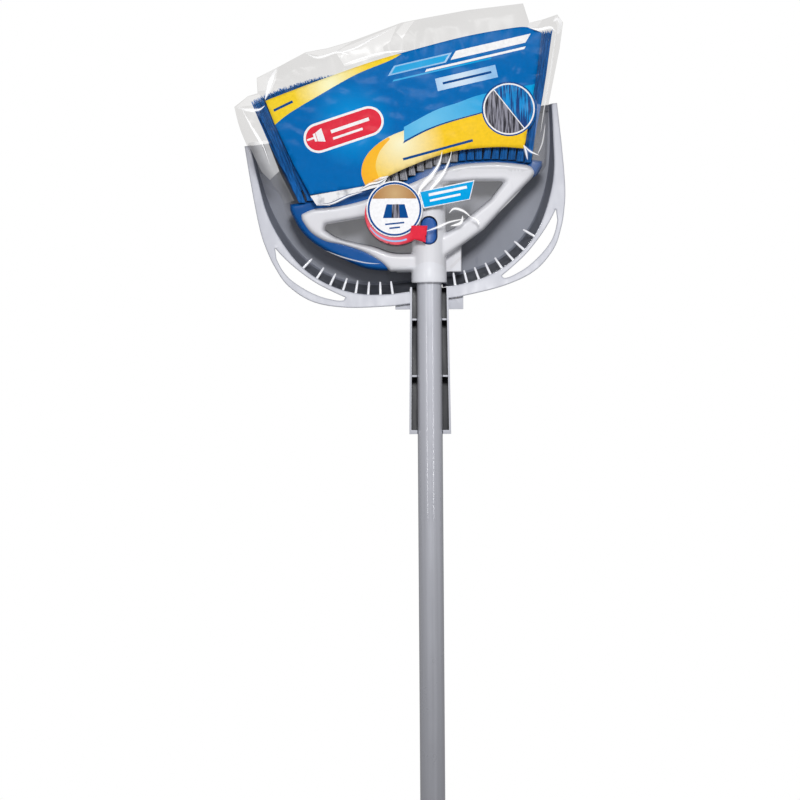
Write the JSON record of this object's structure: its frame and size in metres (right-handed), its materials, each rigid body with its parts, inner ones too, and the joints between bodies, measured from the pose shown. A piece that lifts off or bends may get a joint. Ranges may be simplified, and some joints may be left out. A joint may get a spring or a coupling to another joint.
{
  "type": "angle broom with dustpan",
  "caption": "Angle broom on a steel pole with a clip-on dustpan behind its head, a release button and a clear retail bag with a printed sleeve.",
  "frame": {"origin": "centre of the hang hole in the cap at the lower end of the pole", "axes": "+Z along the pole to the broom head, +X to the high end of the bristles, +Y from the broom head to the dustpan"},
  "size_m": [0.3146, 0.067, 1.4076],
  "materials": {
    "pole_steel": "satin",
    "dark_plastic": "matte",
    "plug_plastic": "matte",
    "bright_steel": "brushed",
    "button_blue": "gloss",
    "frame_white": "semi-gloss",
    "block_blue": "semi-gloss",
    "blue_bristle": "fibre",
    "grey_bristle": "fibre",
    "sleeve_card": "coated",
    "clear_film": "film",
    "tag_paper": "coated",
    "ribbon_paper": "coated",
    "arrow_paper": "coated",
    "tray_grey": "semi-gloss",
    "rim_grey": "satin",
    "lip_rubber": "soft"
  },
  "bodies": {
    "pole": {"pole_tube": "pole_steel", "pole_end_cap": "dark_plastic", "pole_plug": "plug_plastic", "plug_rivet": "bright_steel", "button_spring": "bright_steel"},
    "button": {"release_button": "button_blue"},
    "head": {"head_frame": "frame_white", "back_shell": "frame_white", "shell_screws": "bright_steel", "bristle_block": "block_blue", "block_screws": "bright_steel", "left_bristles": "blue_bristle", "middle_bristles": "grey_bristle", "right_bristles": "blue_bristle", "printed_sleeve": "sleeve_card", "film_bag": "clear_film", "round_tag": "tag_paper", "tag_ribbon": "ribbon_paper", "tag_arrow": "arrow_paper"},
    "dustpan": {"pan_tray": "tray_grey", "pan_rim": "rim_grey", "comb_teeth": "rim_grey", "pan_lip": "lip_rubber", "handle_channel": "rim_grey", "clip_ribs": "rim_grey", "handle_rivets": "bright_steel"}
  },
  "joints": [
    {"name": "button_press", "type": "slide", "parent": "pole", "child": "button", "axis": [0, 1, 0], "range_m": [0, 0.003], "stiffness_N_per_m": 400, "springref_m": -0.003, "deforming": ["button_spring"]},
    {"name": "head_lift", "type": "slide", "parent": "pole", "child": "head", "axis": [0, 0, 1], "range_m": [0, 0.09]},
    {"name": "pan_unclip", "type": "slide", "parent": "pole", "child": "dustpan", "axis": [0, 1, 0], "range_m": [0, 0.12]}
  ]
}
